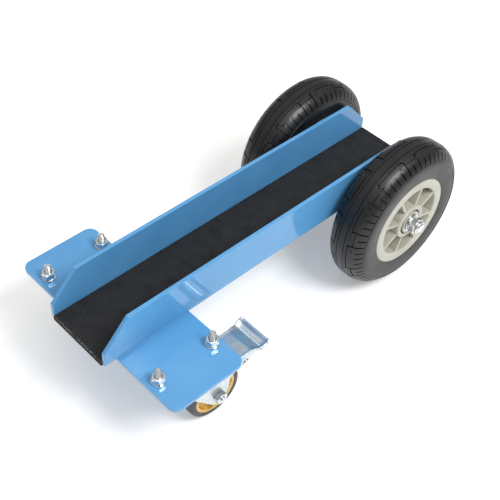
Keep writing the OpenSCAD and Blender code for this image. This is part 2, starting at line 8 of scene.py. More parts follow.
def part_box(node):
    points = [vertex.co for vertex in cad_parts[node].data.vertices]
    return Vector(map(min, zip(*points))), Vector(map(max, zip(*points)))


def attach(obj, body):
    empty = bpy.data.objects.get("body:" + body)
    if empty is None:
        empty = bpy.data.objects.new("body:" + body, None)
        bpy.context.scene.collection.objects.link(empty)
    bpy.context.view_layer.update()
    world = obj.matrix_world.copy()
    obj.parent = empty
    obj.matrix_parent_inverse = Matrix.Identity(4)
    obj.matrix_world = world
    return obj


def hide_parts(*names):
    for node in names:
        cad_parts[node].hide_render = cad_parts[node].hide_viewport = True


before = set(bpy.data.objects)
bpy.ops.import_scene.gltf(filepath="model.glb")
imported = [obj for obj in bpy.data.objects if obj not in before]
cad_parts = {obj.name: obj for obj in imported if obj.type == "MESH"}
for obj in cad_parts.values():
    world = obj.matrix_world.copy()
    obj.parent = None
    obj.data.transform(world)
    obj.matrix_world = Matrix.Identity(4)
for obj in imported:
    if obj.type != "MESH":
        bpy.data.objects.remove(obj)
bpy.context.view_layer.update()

# ---------- Channel ----------
# The trough is one U bent from 6 mm mild steel sheet, with its four top corners sheared off.
# It is powder coated light blue: a hard smooth gloss, so the floor and the castor show in it.
MM = 0.001
SIDES = {"right": -1, "left": 1}


def linear(code):
    """Linear colour from an sRGB hex value."""
    parts = [int(code[i:i + 2], 16) / 255 for i in (1, 3, 5)]
    return tuple(c / 12.92 if c <= 0.04045 else ((c + 0.055) / 1.055) ** 2.4 for c in parts) + (1.0,)


def add_node(tree, kind, settings=(), inputs=()):
    """Adds a node, sets its attributes, and gives its inputs a value or the socket that feeds them."""
    node = tree.nodes.new("ShaderNode" + kind)
    for name, value in dict(settings).items():
        setattr(node, name, value)
    for name, value in dict(inputs).items():
        if isinstance(value, bpy.types.NodeSocket):
            tree.links.new(value, node.inputs[name])
        else:
            node.inputs[name].default_value = value
    return node


def new_finish(name, roughness, metallic=0.0, ior=1.5):
    """A material with its shader, and the place on the piece in metres that its patterns start from."""
    material = bpy.data.materials.new(name)
    material.use_nodes = True
    tree = material.node_tree
    shader = tree.nodes["Principled BSDF"]
    shader.inputs["Roughness"].default_value = roughness
    shader.inputs["Metallic"].default_value = metallic
    shader.inputs["IOR"].default_value = ior
    return material, tree, shader, add_node(tree, "TexCoord").outputs["Object"]


def colour_ramp(tree, factor, stops):
    """A ramp node with stops of (place, hex colour)."""
    ramp = add_node(tree, "ValToRGB", inputs={"Fac": factor})
    elements = ramp.color_ramp.elements
    while len(elements) < len(stops):
        elements.new(0.5)
    for element, (place, code) in zip(elements, stops):
        element.position = place
        element.color = linear(code)
    return ramp.outputs["Color"]


def noise(tree, place, size, detail, roughness=0.5):
    """Soft random values about 0.5, in grains of that size."""
    return add_node(tree, "TexNoise", inputs={
        "Vector": place, "Scale": 1 / size, "Detail": detail, "Roughness": roughness}).outputs["Fac"]


def mapped(tree, value, from_start, from_end, to_start, to_end):
    """A value carried from one range to another and held at its ends."""
    return add_node(tree, "MapRange", inputs={
        "Value": value, "From Min": from_start, "From Max": from_end,
        "To Min": to_start, "To Max": to_end}).outputs["Result"]


def product(tree, a, b):
    return add_node(tree, "Math", {"operation": "MULTIPLY"}, {0: a, 1: b}).outputs["Value"]


def add_tint(tree, shader, factor, stops):
    """Colours a finish by a factor."""
    tree.links.new(colour_ramp(tree, factor, stops), shader.inputs["Base Color"])


def add_relief(tree, shader, place, size, detail, strength, depth):
    """Gives a finish a fine relief, in grains of that size and depth."""
    bump = add_node(tree, "Bump", inputs={
        "Height": noise(tree, place, size, detail), "Strength": strength, "Distance": depth})
    tree.links.new(bump.outputs["Normal"], shader.inputs["Normal"])


# Powder coat: even colour with the faintest drift, and the orange peel that baking leaves,
# waves about 3 mm long that only show as a slight wobble in the reflections.
powder_coat, tree, shader, place = new_finish("powder_coat_light_blue", 0.1, ior=1.55)
add_tint(tree, shader, noise(tree, place, 60 * MM, 3.0), [(0.3, "#5191C4"), (0.7, "#5898C9")])
add_relief(tree, shader, place, 3 * MM, detail=1.0, strength=0.35, depth=0.03 * MM)
dulling = mapped(tree, noise(tree, place, 25 * MM, 6.0), 0.35, 0.75, 0.06, 0.14)
tree.links.new(dulling, shader.inputs["Roughness"])


def arc(centre, radius, start, end, steps):
    """Points on an arc, with the angles in degrees."""
    turns = [math.radians(start + (end - start) * i / steps) for i in range(steps + 1)]
    return [(centre[0] + radius * math.cos(t), centre[1] + radius * math.sin(t)) for t in turns]


def prism(outline, length):
    """An outline in X and Y drawn out along Z."""
    mesh = bmesh.new()
    near = [mesh.verts.new((x, y, 0)) for x, y in outline]
    far = [mesh.verts.new((x, y, length)) for x, y in outline]
    mesh.faces.new(near[::-1])
    mesh.faces.new(far)
    for i in range(len(outline)):
        j = (i + 1) % len(outline)
        mesh.faces.new((near[i], near[j], far[j], far[i]))
    return mesh


def skin(mesh, rings):
    """Faces between each ring of points and the next."""
    for a, b in zip(rings, rings[1:]):
        for i in range(len(a)):
            j = (i + 1) % len(a)
            mesh.faces.new((a[i], a[j], b[j], b[i]))


def cap(mesh, rings):
    """A face across the first ring and one across the last."""
    mesh.faces.new(rings[0][::-1])
    mesh.faces.new(rings[-1])


def skin_closed(mesh, rings):
    """Faces between each ring of points and the next, and from the last to the first."""
    for a, b in zip(rings, rings[1:] + rings[:1]):
        for i in range(len(a)):
            j = (i + 1) % len(a)
            mesh.faces.new((a[i], b[i], b[j], a[j]))


def round_edges(mesh, radius, steps=2, over=35):
    """Rounds each edge that turns by more than that many degrees."""
    sharp = [e for e in mesh.edges if e.is_manifold and e.calc_face_angle() > math.radians(over)]
    bmesh.ops.bevel(mesh, geom=sharp, offset=radius, segments=steps, profile=0.5, affect="EDGES",
                    clamp_overlap=True)


def make_piece(name, mesh, material, body, nodes=(), place=Matrix(), crease=45, even=True):
    """Makes a shaped mesh a piece of the dolly that rides on its body and stands for its CAD nodes."""
    bmesh.ops.transform(mesh, matrix=place, verts=mesh.verts)
    bmesh.ops.recalc_face_normals(mesh, faces=mesh.faces)
    data = bpy.data.meshes.new(name)
    mesh.to_mesh(data)
    mesh.free()
    data.materials.append(material)
    data.shade_smooth()
    data.set_sharp_from_angle(angle=math.radians(crease))
    made = bpy.data.objects.new(name, data)
    bpy.context.scene.collection.objects.link(made)
    if even:
        made.modifiers.new("even_flats", "WEIGHTED_NORMAL").keep_sharp = True
    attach(made, body)
    if nodes:
        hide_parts(*nodes)
    return made


def turned_about(axis, degrees):
    return Matrix.Rotation(math.radians(degrees), 4, axis)


# These lay a drawing's X and Y along the two axes named first; its Z runs along X, or against Y
YZ_ALONG_X = Matrix(((0, 0, 1, 0), (1, 0, 0, 0), (0, 1, 0, 0), (0, 0, 0, 1)))
XZ_ALONG_Y = Matrix(((1, 0, 0, 0), (0, 0, -1, 0), (0, 1, 0, 0), (0, 0, 0, 1)))

sheet = 6 * MM
bend_inner, bend_outer = 1 * MM, 7 * MM
corner_cut = Vector((42 * MM, 0, 44 * MM))
sheared_edge = 0.7 * MM
low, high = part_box("channel")
inner = high.y - sheet
outline = [(low.y, high.z)]
outline += arc((low.y + bend_outer, low.z + bend_outer), bend_outer, 180, 270, 8)
outline += arc((high.y - bend_outer, low.z + bend_outer), bend_outer, 270, 360, 8)
outline += [(high.y, high.z), (inner, high.z)]
outline += arc((inner - bend_inner, low.z + sheet + bend_inner), bend_inner, 360, 270, 4)
outline += arc((-inner + bend_inner, low.z + sheet + bend_inner), bend_inner, 270, 180, 4)
outline += [(-inner, high.z)]
channel = prism(outline, high.x - low.x)
bmesh.ops.transform(channel, matrix=Matrix.Translation((low.x, 0, 0)) @ YZ_ALONG_X, verts=channel.verts)
for end, way in ((low.x, -1), (high.x, 1)):
    shear = Vector((way * corner_cut.z, 0, corner_cut.x)).normalized()
    bmesh.ops.bisect_plane(channel, geom=channel.verts[:] + channel.edges[:] + channel.faces[:],
                           plane_co=(end, 0, high.z - corner_cut.z), plane_no=shear, clear_outer=True)
    bmesh.ops.holes_fill(channel, edges=[e for e in channel.edges if e.is_boundary])
round_edges(channel, sheared_edge, 3)
make_piece("channel_sheet", channel, powder_coat, "chassis", ["channel"])

# ---------- Castor plate ----------
# A flat plate 6 mm thick, profile cut with round corners and drilled for four M10 bolts.
# It lies across under the channel, and its two ends are the wings that carry the castors.


def cut_sheet(loops, thickness, edge):
    """A flat part from sheet: an outline run anticlockwise, holes run clockwise, and rounded edges."""
    mesh = bmesh.new()
    bend = 0.29 * edge
    levels = [(edge, 0), (bend, bend), (0, edge),
              (0, thickness - edge), (bend, thickness - bend), (edge, thickness)]
    faces = [[], []]
    for loop in loops:
        count = len(loop)
        rings = []
        for inset, z in levels:
            ring = []
            for i, (x, y) in enumerate(loop):
                before, after = Vector(loop[i - 1]), Vector(loop[(i + 1) % count])
                a = (Vector((x, y)) - before).normalized()
                b = (after - Vector((x, y))).normalized()
                inward = Vector((-a.y - b.y, a.x + b.x)).normalized()
                reach = inset / max(0.5, math.sqrt((1 + a.dot(b)) / 2))
                ring.append(mesh.verts.new((x + inward.x * reach, y + inward.y * reach, z)))
            rings.append(ring)
        skin(mesh, rings)
        for side, ring in ((0, rings[0]), (1, rings[-1])):
            faces[side] += [mesh.edges.get((ring[i], ring[(i + 1) % count])) for i in range(count)]
    for edges in faces:
        bmesh.ops.triangle_fill(mesh, edges=edges, use_beauty=True)
    return mesh


def rounded_corners(corners, steps=6):
    """An outline from corners of (x, y, radius), with an arc of that radius at each."""
    points = []
    for i, (x, y, radius) in enumerate(corners):
        here = Vector((x, y))
        a = (Vector(corners[i - 1][:2]) - here).normalized()
        b = (Vector(corners[(i + 1) % len(corners)][:2]) - here).normalized()
        half = math.acos(max(-1, min(1, a.dot(b)))) / 2
        if radius == 0 or half > math.radians(88):
            points.append((x, y))
            continue
        centre = here + (a + b).normalized() * (radius / math.sin(half))
        first = here + a * (radius / math.tan(half)) - centre
        last = here + b * (radius / math.tan(half)) - centre
        sweep = first.angle_signed(last)
        start = math.atan2(first.y, first.x)
        for k in range(steps + 1):
            turn = start - sweep * k / steps
            points.append((centre.x + radius * math.cos(turn), centre.y + radius * math.sin(turn)))
    return points


def round_hole(x, y, radius, steps=32):
    return arc((x, y), radius, 360, 360 / steps, steps - 1)


plate_corner = 14 * MM
plate_edge = 0.6 * MM
bolt_hole = 5.5 * MM
bolt_half_spacing = 46.5 * MM
bolt_spots = []
for side in SIDES:
    castor_low, castor_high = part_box(side + "_kingpin")
    swivel = (castor_low + castor_high) / 2
    bolt_spots += [(swivel.x + s * bolt_half_spacing, swivel.y) for s in (-1, 1)]
low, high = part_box("castor_plate")
corners = [(low.x, low.y), (high.x, low.y), (high.x, high.y), (low.x, high.y)]
plate = cut_sheet([rounded_corners([(x, y, plate_corner) for x, y in corners])]
                  + [round_hole(x, y, bolt_hole) for x, y in bolt_spots], high.z - low.z, plate_edge)
make_piece("castor_plate_sheet", plate, powder_coat, "chassis", ["castor_plate"],
           Matrix.Translation((0, 0, low.z)))

# ---------- Axle tube and welds ----------
# A 34 mm tube crosses under the channel's rear end and guides the axle. Fillet welds hold it,
# and two more hold the plate; they were laid by hand, rippled, then coated with the rest.


def weld_bead(length, corner, leg_a, leg_b):
    """A rippled fillet along Z in the corner between two faces, with its legs in X and Y."""
    mesh = bmesh.new()
    step, swelling, fading = 0.5 * MM, 0.2 * MM, 3 * MM
    rows = []
    for i in range(int(length / step) + 1):
        z = i * step
        ripple = 0.22 * MM * math.sin(2 * math.pi * z / (1.9 * MM)) + 0.12 * MM * math.sin(z / (7 * MM))
        ends = min(1, z / fading, (length - z) / fading)
        row = [mesh.verts.new((*corner, z))]
        for k in range(7):
            turn = k / 6
            flat = Vector(corner) + Vector((leg_a * (1 - turn), 0)) + Vector((0, leg_b * turn))
            swell = math.sin(math.pi * turn) * (swelling + ripple) * ends
            out = Vector((leg_b, leg_a)).normalized() * swell
            row.append(mesh.verts.new((flat.x + math.copysign(out.x, leg_a),
                                       flat.y + math.copysign(out.y, leg_b), z)))
        rows.append(row)
    skin(mesh, rows)
    cap(mesh, rows)
    return mesh


def finish_node(node, material):
    """Gives a CAD node that keeps its shape a finish."""
    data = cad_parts[node].data
    data.materials.clear()
    data.materials.append(material)


# The plate's beads lie in the round of the channel's bends and stop short of the plate's ends
channel_low, channel_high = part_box("channel")
plate_low, plate_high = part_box("castor_plate")
seam_margin, bend_root = 3 * MM, 4.6 * MM
seam = plate_high.x - plate_low.x - 2 * seam_margin
for side, way in SIDES.items():
    bead = weld_bead(seam, (way * (channel_high.y - bend_root), channel_low.z), way * 3.2 * MM, 3.0 * MM)
    make_piece(side + "_plate_weld", bead, powder_coat, "chassis", ["weld_beads"],
               Matrix.Translation((plate_low.x + seam_margin, 0, 0)) @ YZ_ALONG_X, crease=80, even=False)

# The tube's beads are four short ones, in front of it and behind it near each of the channel's walls
tube_low, tube_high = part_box("axle_tube")
axle_centre = (tube_low + tube_high) / 2
bead_length, bead_y, bead_root = 30 * MM, 37 * MM, 4 * MM
for side, way in SIDES.items():
    for end, face in (("front", -1), ("rear", 1)):
        root = (axle_centre.x + face * bead_root, channel_low.z)
        bead = weld_bead(bead_length, root, face * 9 * MM, -4 * MM)
        make_piece(f"{side}_{end}_tube_weld", bead, powder_coat, "chassis", ["weld_beads"],
                   Matrix.Translation((0, way * bead_y + bead_length / 2, 0)) @ XZ_ALONG_Y,
                   crease=80, even=False)
finish_node("axle_tube", powder_coat)

# ---------- Ribbed mat ----------
# A strip of fine-ribbed floor rubber, 2.5 mm over the ribs, glued down in the trough.
# Its front end is turned down over the channel's edge, where the glue and handling scuff it.
low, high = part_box("rubber_mat")
base_top = high.z - 1 * MM
floor_z = channel_low.z + sheet
lip_back = channel_low.x
rib_pitch = 3 * MM
rib = [(0.05, 0), (0.22, 0.78), (0.5, 1), (1.0, 1), (1.28, 0.78), (1.45, 0)]
outline = [(high.x, floor_z), (lip_back, floor_z), (lip_back, channel_low.z + 0.3 * MM),
           (lip_back - 0.5 * MM, channel_low.z), (low.x + 0.6 * MM, channel_low.z),
           (low.x, channel_low.z + 0.6 * MM), (low.x, base_top - 1.2 * MM),
           (low.x + 0.35 * MM, base_top - 0.35 * MM), (low.x + 1.2 * MM, base_top)]
for i in range(int((high.x - lip_back) / rib_pitch)):
    start = lip_back + (i + 0.2) * rib_pitch
    outline += [(start + along * MM, base_top + up * MM) for along, up in rib]
outline.append((high.x, base_top))
mat = prism(outline, high.y - low.y)

# Ribbed rubber: dull between the ribs and smoother on their tops where it is handled. Its colour is grey dust
# on the rib tops, turned to black down into the grooves as painted shade, and it is scuffed pale along the
# top of the lip.
mat_rubber, tree, shader, place = new_finish("ribbed_floor_rubber", 0.62, ior=1.52)
along = add_node(tree, "SeparateXYZ", inputs={"Vector": place})
dust = noise(tree, place, 18 * MM, 8.0, 0.65)
rib_height = mapped(tree, along.outputs["Z"], base_top, high.z, 0.0, 1.0)
# Painted shade: the colour runs from grey dust on the rib tops to black at the groove floors
groove_shade_and_dust_colour = colour_ramp(tree, product(tree, rib_height, dust),
                          [(0.0, "#020202"), (0.2, "#050606"), (0.5, "#34363A")])
tree.links.new(mapped(tree, rib_height, 0.0, 1.0, 0.95, 0.6), shader.inputs["Roughness"])
flecks = mapped(tree, noise(tree, place, 1.3 * MM, 2.0), 0.5, 0.6, 0.0, 0.85)
at_lip = mapped(tree, along.outputs["X"], lip_back + 0.3 * MM, lip_back - 0.4 * MM, 0.0, 1.0)
at_edge = mapped(tree, along.outputs["Z"], base_top - 1.6 * MM, base_top - 0.5 * MM, 0.0, 1.0)
scuffed = product(tree, flecks, product(tree, at_edge, at_lip))
mixed = add_node(tree, "Mix", {"data_type": "RGBA"}, {0: scuffed, 6: groove_shade_and_dust_colour, 7: linear("#8E8C86")})
tree.links.new(mixed.outputs[2], shader.inputs["Base Color"])
add_relief(tree, shader, place, 0.8 * MM, detail=3.0, strength=0.3, depth=0.1 * MM)
make_piece("ribbed_mat", mat, mat_rubber, "chassis", ["rubber_mat"],
           Matrix.Translation((0, high.y, 0)) @ XZ_ALONG_Y, crease=50, even=False)

# ---------- Axle, bearings and spacers ----------
# One 17 mm bar runs through the tube and both wheels. Each wheel turns on two sealed ball
# bearings with a sleeve between them; the steel is drawn, ground and lightly zinc plated.


def zinc_finish(name, code, dark_code, roughness):
    """Zinc plate: bright bluish white metal with soft clouds left by the bath."""
    material, tree, shader, place = new_finish(name, roughness, metallic=1.0)
    clouds = noise(tree, place, 9 * MM, 6.0)
    add_tint(tree, shader, clouds, [(0.3, dark_code), (0.65, code)])
    dulling = mapped(tree, clouds, 0.3, 0.7, roughness * 1.15, roughness * 0.88)
    tree.links.new(dulling, shader.inputs["Roughness"])
    add_relief(tree, shader, place, 1.2 * MM, detail=2.0, strength=0.25, depth=0.05 * MM)
    return material


bearing_steel = zinc_finish("ground_bearing_steel", "#C9CBCD", "#BDBFC2", 0.16)
zinc_plate = zinc_finish("bright_zinc_plate", "#E2E5E8", "#D0D5D9", 0.2)
pressed_zinc = zinc_finish("pressed_zinc_sheet", "#D3DADD", "#C4CCD1", 0.28)

finish_node("axle", zinc_plate)
for side in SIDES:
    for part in ("outer_races", "inner_races", "bearing_balls", "bearing_shields"):
        finish_node(f"{side}_{part}", bearing_steel)
    for part in ("bearing_sleeve", "wheel_spacer"):
        finish_node(f"{side}_{part}", zinc_plate)

# ---------- Tyres ----------
# Flat-free tyres foamed in one piece of black polyurethane, 250 by 68 mm.
# The mould leaves shoulder lugs, stepped tread blocks and a raised line low on each sidewall.
tyre_r = 125 * MM
shoulder_r = 28 * MM
tyre_half = 34 * MM
crown_half = tyre_half - shoulder_r

# Slots round the tyre, and their half width at the skin and at the floor, in degrees
SLOT_COUNT = 60
SLOT_EDGE, SLOT_FLOOR = 0.62, 0.36
# A tread block is this many slots long; these two of them run on into the tread
BLOCK_SLOTS = 6
LONG_SLOTS = (0, 2)
GROOVE_DEPTH, STEP_DEPTH, LUG_DEPTH, RIDGE_HEIGHT = 1.0, 1.6, 2.2, 0.9
# The bead and the bore under the tyre's sidewall, in millimetres: (radius, height)
BEAD = ((97, 34), (93.5, 34), (89, 33.8), (84.5, 33.45), (80.5, 33.05), (77.6, 32.75), (76.3, 32.45),
        (75.8, 31.9), (75.8, 28.6), (70.05, 28.6))


def bump_profile(stations, inner, outer, ramp):
    """The share of full depth at each station for a groove between inner and outer."""
    return [max(0.0, min(1.0, (s - inner) / ramp + 1, (outer - s) / ramp + 1)) for s in stations]


def tyre_mesh():
    """Half a section's stations run from the crown's middle to the sidewall, in millimetres."""
    stations = [0, 3, 5.4, 5.9, 6.7, 7.2, 9.5, 11.6, 12.1, 13.1, 13.6, 16.4, 19, 19.5, 20.5, 21,
                23.5, 26, 26.6, 29, 31.5, 34, 36.5, 38.6, 39.3, 40.2, 40.8, 42.2, 42.8, 45, 47.5]
    centre_groove = bump_profile(stations, 5.9, 6.7, 0.5)
    near_step = bump_profile(stations, 12.1, 13.1, 0.5)
    far_step = bump_profile(stations, 19.5, 20.5, 0.5)
    short_slot = bump_profile(stations, 26.6, 38.6, 0.7)
    long_slot = bump_profile(stations, 12.1, 38.6, 0.7)
    ridge = bump_profile(stations, 40.8, 42.2, 0.6)
    columns = []
    pitch = 360 / SLOT_COUNT
    for slot in range(SLOT_COUNT):
        for turn, depth in ((-SLOT_EDGE, 0), (-SLOT_FLOOR, 1), (SLOT_FLOOR, 1), (SLOT_EDGE, 0),
                            (2.2, 0), (3.8, 0)):
            columns.append((slot, slot * pitch + turn, depth))
    section = []
    for way in (-1, 1):
        half = []
        for i, s in enumerate(stations):
            s = s * MM
            if s <= crown_half:
                r, z, normal = tyre_r, s, (1.0, 0.0)
            else:
                bend = (s - crown_half) / shoulder_r
                r = tyre_r - shoulder_r + shoulder_r * math.cos(bend)
                z = crown_half + shoulder_r * math.sin(bend)
                normal = (math.cos(bend), math.sin(bend))
            half.append((i, way, r, way * z, (normal[0], way * normal[1])))
        half += [(None, way, r * MM, way * z * MM, (0, 0)) for r, z in BEAD]
        section.append(half)
    line = section[0][::-1] + section[1][1:]
    mesh = bmesh.new()
    grid = []
    for slot, turn, in_slot in columns:
        column = []
        for i, way, r, z, normal in line:
            drop = 0.0
            if i is not None:
                place_in_block = (slot + (BLOCK_SLOTS // 2 if way > 0 else 0)) % BLOCK_SLOTS
                long_here = place_in_block in LONG_SLOTS
                between = LONG_SLOTS[0] <= place_in_block < LONG_SLOTS[1]
                at_block_edge = place_in_block == LONG_SLOTS[1] and turn % pitch > pitch / 2
                step = far_step[i] if between or at_block_edge else near_step[i]
                lug = long_slot[i] if long_here else short_slot[i]
                drop = max(GROOVE_DEPTH * centre_groove[i], STEP_DEPTH * step, LUG_DEPTH * lug * in_slot)
                drop -= RIDGE_HEIGHT * ridge[i]
            angle = math.radians(turn)
            reach = r - drop * MM * normal[0]
            column.append(mesh.verts.new((reach * math.cos(angle), reach * math.sin(angle),
                                          z - drop * MM * normal[1])))
        grid.append(column)
    skin_closed(mesh, grid)
    return mesh


def at_wheel(side):
    """A large wheel's own frame: its Z points out from the dolly along the axle."""
    wheel_low, wheel_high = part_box(side + "_tyre")
    return Matrix.Translation((wheel_low + wheel_high) / 2) @ turned_about("X", -90 * SIDES[side])


# Moulded polyurethane: a satin black skin, a little greyer and duller in patches.
tyre_skin, tree, shader, place = new_finish("moulded_tyre_black", 0.38, ior=1.46)
clouds = noise(tree, place, 22 * MM, 7.0, 0.6)
add_tint(tree, shader, clouds, [(0.3, "#0E0F11"), (0.75, "#17181A")])
tree.links.new(mapped(tree, clouds, 0.3, 0.7, 0.28, 0.42), shader.inputs["Roughness"])
add_relief(tree, shader, place, 1.1 * MM, detail=3.0, strength=0.3, depth=0.12 * MM)
for side in SIDES:
    make_piece(side + "_tyre_body", tyre_mesh(), tyre_skin, side + "_wheel",
               [side + "_tyre"], at_wheel(side), crease=50, even=False)

# ---------- Rims ----------
# Each rim is one moulding of light warm grey polypropylene: a barrel with two flanges,
# eight thin spoke ribs standing on a middle web, and a hub with a moulded groove round it.
SPOKES = 8
FIRST_SPOKE = 28
POCKET_LINES = 6
hub_edge, pocket_edge = 29.0, 60.0
pocket_floor = 3.0

# Height above the web's middle along one face, in millimetres: (radius, height on a spoke, in a pocket)
FACE = [(14, 25.5, 25.5), (17.5, 25.5, 25.5), (17.55, 36.0, 36.0), (18.0, 36.4, 36.4), (18.8, 36.5, 36.5),
        (19.2, 36.2, 36.2), (19.3, 35.6, 35.6), (19.4, 26.4, 26.4), (19.8, 26.0, 26.0), (21.6, 26.0, 26.0),
        (21.95, 26.4, 26.4), (22.0, 33.5, 33.5), (22.4, 33.9, 33.9), (23.0, 34.0, 34.0), (28.0, 34.0, 34.0),
        (28.6, 33.8, 33.8), (29.0, 33.3, 33.3), (29.3, 31.8, 30.0), (29.9, 31.5, 6.0), (31.0, 31.5, 3.8),
        (33.0, 31.5, 3.0), (40.0, 31.5, 3.0), (48.0, 31.5, 3.0), (55.5, 31.5, 3.0), (57.8, 31.5, 3.8),
        (58.9, 31.5, 6.0), (59.6, 31.6, 30.5), (60.0, 31.9, 31.9), (60.5, 32.4, 32.4), (61.2, 32.5, 32.5),
        (68.0, 32.5, 32.5), (74.8, 32.5, 32.5), (75.4, 32.3, 32.3), (75.7, 31.8, 31.8), (75.7, 28.5, 28.5),
        (70.0, 28.5, 28.5)]
# How the spoke's side falls away from its middle line, in millimetres: (offset, height)
SPOKE_SIDE = [(0, 31.5), (1.7, 31.5), (2.15, 31.1), (2.3, 29.5), (2.75, 6.0), (3.6, 3.8), (5.2, 3.0)]


def rim_mesh():
    """Lines of the section turned about Z: close together over each spoke, spread over each pocket."""
    mesh = bmesh.new()
    sides = [(-d, h) for d, h in SPOKE_SIDE[:0:-1]] + SPOKE_SIDE
    reach = SPOKE_SIDE[-1][0]
    line = FACE + [(r, -a, -b) for r, a, b in FACE[::-1]]
    grid = []
    for spoke in range(SPOKES):
        middle = FIRST_SPOKE + 360 / SPOKES * spoke
        lines = [("spoke", d, h) for d, h in sides]
        lines += [("pocket", k / (POCKET_LINES + 1), pocket_floor) for k in range(1, POCKET_LINES + 1)]
        for kind, value, side_height in lines:
            column = []
            for r, on_spoke, in_pocket in line:
                at = min(max(r, hub_edge), pocket_edge)
                if kind == "spoke":
                    turn = middle + math.degrees(math.asin(value / at))
                else:
                    edge = math.degrees(math.asin(reach / at))
                    turn = middle + edge + value * (360 / SPOKES - 2 * edge)
                height = abs(in_pocket)
                if hub_edge < r < pocket_edge:
                    height = max(height, min(side_height, abs(on_spoke)))
                height = math.copysign(height, on_spoke)
                angle = math.radians(turn)
                column.append(mesh.verts.new((r * MM * math.cos(angle), r * MM * math.sin(angle),
                                              height * MM)))
            grid.append(column)
    skin_closed(mesh, grid)
    return mesh


# Moulded polypropylene: warm light grey, satin, with slow flow marks in its colour.
rim_plastic, tree, shader, place = new_finish("moulded_grey_polypropylene", 0.36, ior=1.49)
add_tint(tree, shader, noise(tree, place, 30 * MM, 4.0), [(0.3, "#A9A89B"), (0.7, "#B4B3A7")])
shader.inputs["Subsurface Weight"].default_value = 0.06
shader.inputs["Subsurface Radius"].default_value = (2 * MM, 2 * MM, 1.5 * MM)
shader.inputs["Subsurface Scale"].default_value = 1.0
add_relief(tree, shader, place, 0.9 * MM, detail=2.0, strength=0.2, depth=0.05 * MM)
for side in SIDES:
    make_piece(side + "_rim_moulding", rim_mesh(), rim_plastic, side + "_wheel",
               [side + "_rim"], at_wheel(side), crease=38, even=False)

# ---------- Axle washers and lock nuts ----------
# Outside each wheel a thick washer and an M16 lock nut close the axle. The nut is forged and
# zinc plated, with a round collar that is rolled over a ring of white nylon.


def cleaned(mesh):
    """Joins points that coincide, such as those on the axis, and drops the faces that vanish."""
    same = 0.001 * MM
    bmesh.ops.remove_doubles(mesh, verts=mesh.verts, dist=same)
    bmesh.ops.dissolve_degenerate(mesh, edges=mesh.edges, dist=same)
    return mesh


def turned(profile, around=72):
    """A closed section of (radius, height) points turned about Z."""
    mesh = bmesh.new()
    grid = []
    for k in range(around):
        turn = 2 * math.pi * k / around
        grid.append([mesh.verts.new((r * math.cos(turn), r * math.sin(turn), z)) for r, z in profile])
    skin_closed(mesh, grid)
    return cleaned(mesh)


def flat_ring(outer, inner, height, edge):
    """A turned ring with small round edges."""
    return turned([(inner, edge), (inner + edge, 0), (outer - edge, 0), (outer - 0.3 * edge, 0.3 * edge),
                   (outer, edge), (outer, height - edge), (outer - 0.3 * edge, height - 0.3 * edge),
                   (outer - edge, height), (inner + edge, height), (inner, height - edge)])


def hexagon(across, height, bore=0.0, around=72):
    """A hexagon with its corners chamfered by a cone at both ends, bored or solid."""
    mesh = bmesh.new()
    cone = 0.475 * across
    lead = 0.06 * across
    rings = []
    for k in range(around):
        turn = 2 * math.pi * k / around
        face = (math.degrees(turn) + 30) % 60 - 30
        edge = across / 2 / math.cos(math.radians(face))
        drop = (edge - cone) * math.tan(math.radians(30))
        section = [(edge, drop), (edge, height - drop), (cone, height)]
        if bore:
            section += [(bore + lead, height), (bore, height - lead), (bore, lead), (bore + lead, 0)]
        else:
            section += [(0, height), (0, 0)]
        section.append((cone, 0))
        rings.append([mesh.verts.new((r * math.cos(turn), r * math.sin(turn), z)) for r, z in section])
    skin_closed(mesh, rings)
    return cleaned(mesh)


def joined(*parts):
    """One mesh from several, each given with the matrix that places it."""
    whole = bmesh.new()
    for mesh, place in parts:
        bmesh.ops.transform(mesh, matrix=place, verts=mesh.verts)
        data = bpy.data.meshes.new("part")
        mesh.to_mesh(data)
        mesh.free()
        whole.from_mesh(data)
        bpy.data.meshes.remove(data)
    return whole


def up(z):
    return Matrix.Translation((0, 0, z))


washer_base = 35.5 * MM
washer_height = 3 * MM
washer_r = 15 * MM
nut_base = washer_base + washer_height
nut_across = 24 * MM
nut_height = 11 * MM
collar_height = 5 * MM
thread_r = 8 * MM
collar_r = 11 * MM

# Nylon: milky, soft edged and dull beside the plated steel.
nylon, tree, shader, place = new_finish("natural_nylon", 0.4, ior=1.53)
add_tint(tree, shader, noise(tree, place, 4 * MM, 3.0), [(0.3, "#C3D0E0"), (0.7, "#DCE3EA")])
shader.inputs["Subsurface Weight"].default_value = 0.15
shader.inputs["Subsurface Scale"].default_value = 1 * MM
for side in SIDES:
    ring = flat_ring(washer_r, thread_r + 0.5 * MM, washer_height, 0.4 * MM)
    make_piece(side + "_axle_washer_ring", ring, zinc_plate, "chassis", [side + "_axle_washer"],
               at_wheel(side) @ up(washer_base))
    collar = turned([(thread_r, 0), (collar_r, 0), (collar_r, collar_height - 1.6 * MM),
                     (collar_r - 0.25 * MM, collar_height - 0.8 * MM),
                     (collar_r - 0.8 * MM, collar_height - 0.25 * MM), (collar_r - 1.5 * MM, collar_height),
                     (collar_r - 1.9 * MM, collar_height - 0.3 * MM), (collar_r - 1.9 * MM, 0.5 * MM),
                     (thread_r, 0.5 * MM)])
    nut = joined((hexagon(nut_across, nut_height, thread_r), up(0)), (collar, up(nut_height - 0.05 * MM)))
    make_piece(side + "_lock_nut_body", nut, zinc_plate, "chassis", [side + "_lock_nut"],
               at_wheel(side) @ up(nut_base), crease=35)
    insert = flat_ring(collar_r - 1.95 * MM, thread_r - 0.1 * MM, collar_height - 1.4 * MM, 0.4 * MM)
    make_piece(side + "_nylon_ring", insert, nylon, "chassis",
               place=at_wheel(side) @ up(nut_base + nut_height + 0.6 * MM))

# ---------- Castor plate bolts ----------
# Each castor hangs on two M10 bolts put in from below, with a plain washer, a split spring
# washer and a nut on top. They are bright zinc plated, and the thread ends stand 25 mm high.


